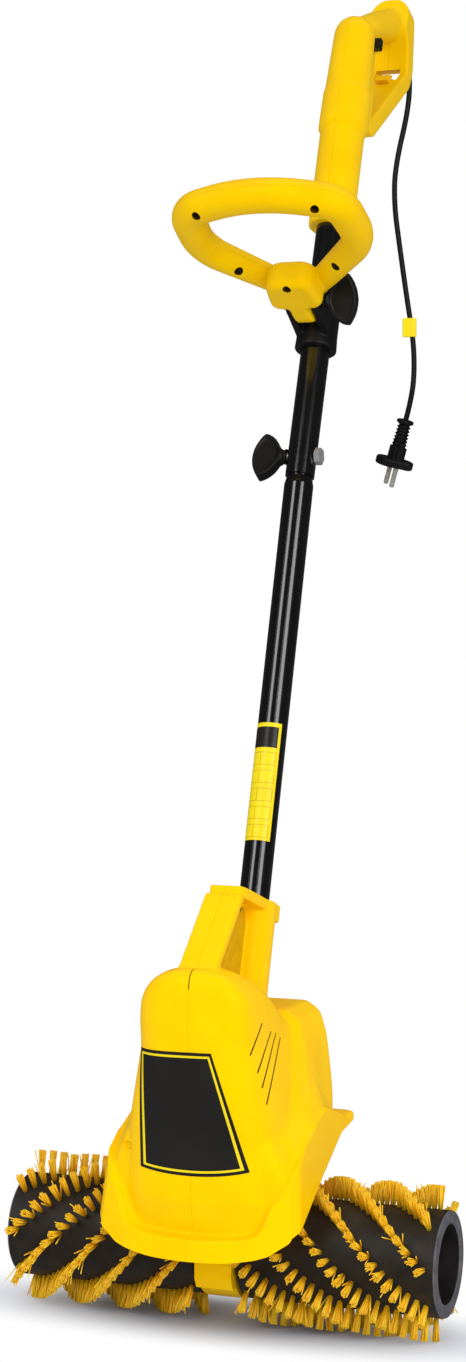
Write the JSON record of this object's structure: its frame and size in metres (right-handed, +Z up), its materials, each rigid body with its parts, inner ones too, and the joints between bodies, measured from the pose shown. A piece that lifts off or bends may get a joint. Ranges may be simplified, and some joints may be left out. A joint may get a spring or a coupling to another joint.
{
  "type": "electric turf brush",
  "caption": "Upright electric brush for artificial turf: twin helical-tuft rollers under a motor hood, two-piece tube with adjustable loop handle, rear trigger handle and a short mains lead",
  "frame": {"origin": "On the ground under the middle of the roller axle", "axes": "+X along the roller axle to the right of a viewer in front, +Y to the back where the tube leans, +Z up"},
  "size_m": [0.36, 0.5986, 1.1359],
  "materials": {
    "yellow_housing": "satin moulded",
    "yellow_handle": "satin moulded",
    "tag_yellow": "smooth",
    "bristle_yellow": "filaments",
    "core_black": "moulded",
    "tube_black": "gloss",
    "black_plastic": "fine texture",
    "rubber_black": "smooth",
    "steel": "zinc plated",
    "lamination": "stamped sheet",
    "copper": "varnished",
    "bronze": "cut",
    "carbon": "pressed",
    "nickel": "plated"
  },
  "bodies": {
    "head": {"housing_left": "yellow_housing", "housing_right": "yellow_housing", "housing_screws": "steel", "collar_screws": "steel", "gear_case_left": "yellow_housing", "gear_case_right": "yellow_housing", "gear_case_screws": "steel", "gear_mount_screws": "steel", "motor_stator": "lamination", "field_coils": "copper", "motor_bracket": "black_plastic", "carbon_brushes": "carbon", "motor_top_bearing": "steel", "motor_low_bearing": "steel", "worm_bush": "bronze", "axle_bearing_left": "steel", "axle_bearing_right": "steel", "lower_tube": "tube_black", "upper_tube": "tube_black", "inner_lead": "rubber_black", "joint_bolt": "steel", "handle_clamp": "black_plastic", "hinge_bolt": "steel", "rear_handle_left": "yellow_handle", "rear_handle_right": "yellow_handle", "rear_handle_screws": "steel", "trigger_pin": "steel", "switch_block": "black_plastic", "cord_gland": "rubber_black", "power_cord": "rubber_black", "cord_tag": "tag_yellow", "plug_body": "black_plastic", "plug_pins": "nickel"},
    "rollers": {"drive_shaft": "steel", "worm_wheel": "bronze", "hub_left": "core_black", "hub_right": "core_black", "core_left": "core_black", "core_right": "core_black", "bristles_left": "bristle_yellow", "bristles_right": "bristle_yellow", "roller_bolts": "steel"},
    "rotor": {"motor_shaft": "steel", "armature": "lamination", "commutator": "copper", "cooling_fan": "black_plastic"},
    "aux_handle": {"aux_grip_upper": "yellow_handle", "aux_grip_lower": "yellow_handle", "aux_screws": "steel"},
    "aux_knob": {"aux_knob": "black_plastic"},
    "joint_knob": {"joint_knob": "black_plastic"},
    "trigger": {"trigger": "yellow_handle"},
    "lock_button": {"lock_button": "black_plastic"}
  },
  "joints": [
    {"name": "roller_spin", "type": "hinge", "parent": "head", "child": "rollers", "pos_m": [0, 0, 0.06], "axis": [1, 0, 0], "continuous": true},
    {"name": "rotor_spin", "type": "hinge", "parent": "head", "child": "rotor", "pos_m": [0, -0.03, 0.173], "axis": [0, 0, 1], "continuous": true},
    {"name": "aux_pivot", "type": "hinge", "parent": "head", "child": "aux_handle", "pos_m": [0, 0.1734, 0.82792], "axis": [1, 0, 0], "range_deg": [-45, 60]},
    {"name": "aux_knob_turn", "type": "hinge", "parent": "head", "child": "aux_knob", "pos_m": [0, 0.1734, 0.82792], "axis": [1, 0, 0], "range_deg": [-180, 180]},
    {"name": "joint_knob_turn", "type": "hinge", "parent": "head", "child": "joint_knob", "pos_m": [0, 0.16539, 0.69512], "axis": [1, 0, 0], "range_deg": [-180, 180]},
    {"name": "trigger_pull", "type": "hinge", "parent": "head", "child": "trigger", "pos_m": [0, 0.33954, 1.08779], "axis": [1, 0, 0], "range_deg": [0, 8], "stiffness_Nm_per_rad": 0.6, "springref_deg": -5.73},
    {"name": "lock_push", "type": "slide", "parent": "head", "child": "lock_button", "axis": [-1, 0, 0], "range_m": [0, 0.004], "stiffness_N_per_m": 300, "springref_m": -0.002}
  ],
  "couplings": [
    {"joint": "rotor_spin", "follows": "roller_spin", "ratio": 15}
  ]
}
